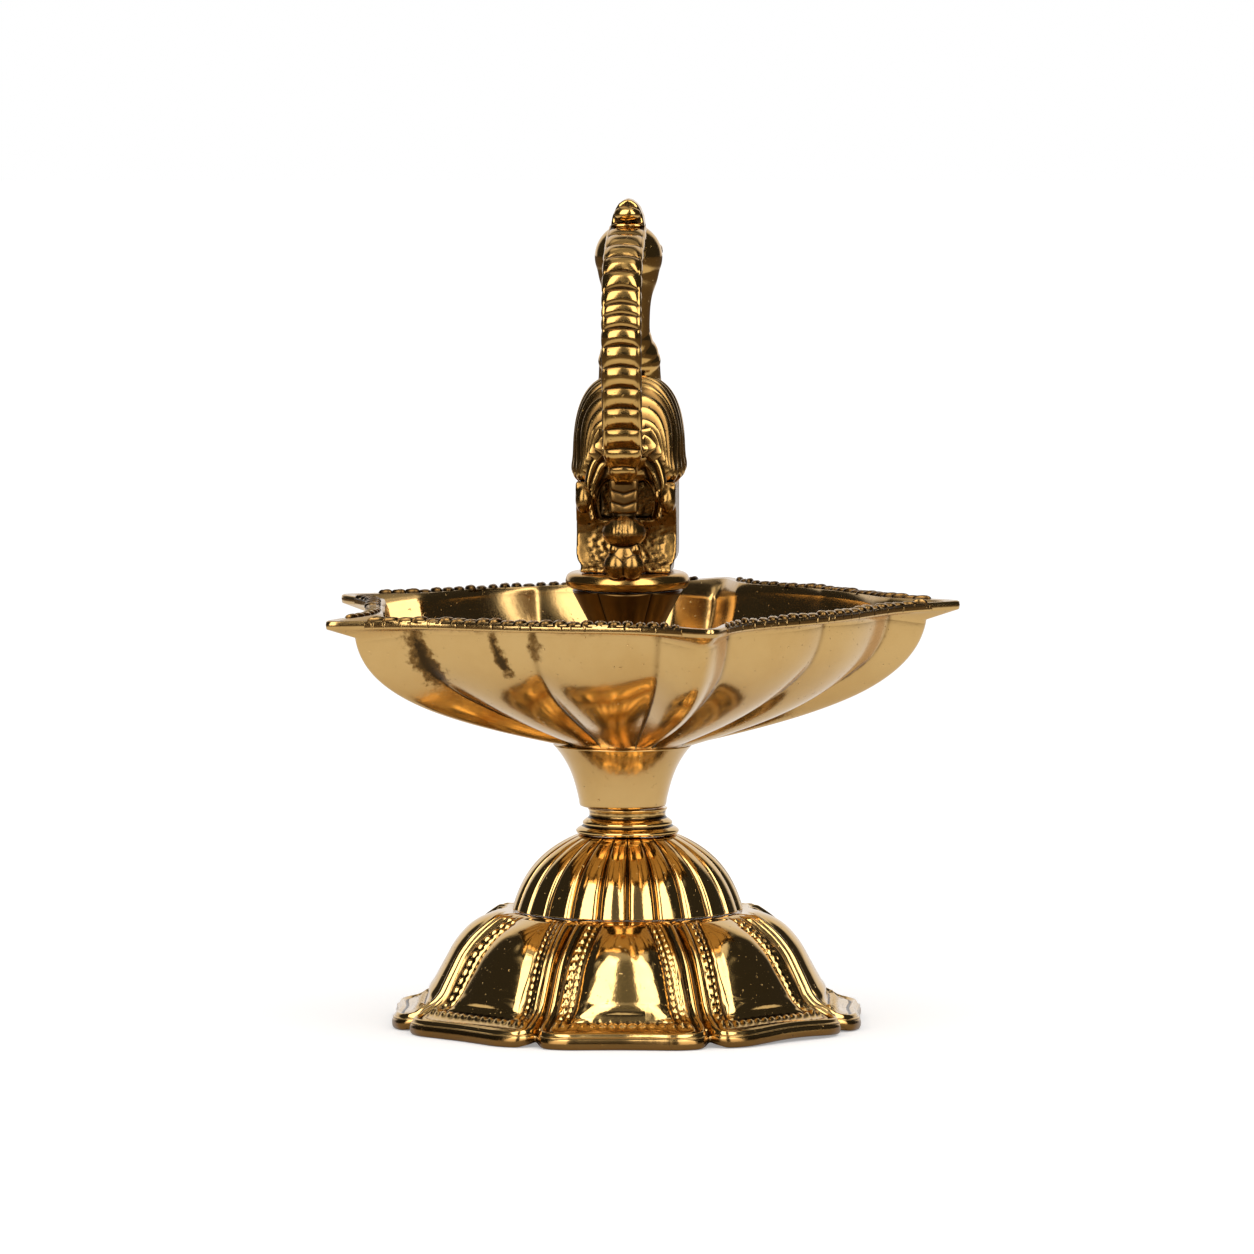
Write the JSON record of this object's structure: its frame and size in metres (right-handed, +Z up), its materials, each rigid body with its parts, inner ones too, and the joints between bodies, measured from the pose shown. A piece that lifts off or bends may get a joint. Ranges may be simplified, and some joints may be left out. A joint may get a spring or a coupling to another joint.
{
  "type": "peacock oil lamp",
  "caption": "Free-standing cast brass oil lamp: petalled foot, fluted dome, flared neck, wide spouted tray, and a peacock with a curled ribbed tail on a pillar in the tray.",
  "frame": {"origin": "on the table, under the middle of the lamp's plan; the lamp's own axis stands 5.05 mm to -X and 1.86 mm to +Y of it, because the spouts reach out unevenly", "axes": "+Z up; the bird looks along +Y, so the picture's side is -Y and +X is to its right"},
  "size_m": [0.1738, 0.1788, 0.2286],
  "materials": {
    "foot_brass": "polished cast brass with dark patina in the clefts and a worn brown lip",
    "dome_brass": "polished cast brass",
    "tray_brass": "polished cast brass with pits, tarnish streaks and a darkened ornament rim",
    "pillar_brass": "aged cast brass, partly rough as cast",
    "bird_brass": "polished cast brass with dark patina between the ribs",
    "stud_steel": "plain threaded steel"
  },
  "bodies": {
    "base": {"base_skirt": "foot_brass", "base_dome": "dome_brass", "base_collar": "dome_brass", "base_nut": "stud_steel", "base_stud": "stud_steel"},
    "tray": {"stem_neck": "tray_brass", "oil_tray": "tray_brass"},
    "bird": {"pillar_stud": "stud_steel", "pillar_column": "pillar_brass", "perch_disc": "pillar_brass", "plinth": "pillar_brass", "bird_body": "bird_brass", "left_wing": "bird_brass", "right_wing": "bird_brass", "crest": "bird_brass", "tail_plume": "bird_brass", "tail_stem": "pillar_brass"}
  },
  "joints": [
    {"name": "tray_turn", "type": "hinge", "parent": "base", "child": "tray", "pos_m": [-0.00505, 0.00186, 0.0603], "axis": [0, 0, 1], "range_deg": [0, 360]},
    {"name": "bird_turn", "type": "hinge", "parent": "tray", "child": "bird", "pos_m": [-0.00505, 0.00186, 0.0805], "axis": [0, 0, 1], "range_deg": [0, 360]}
  ]
}
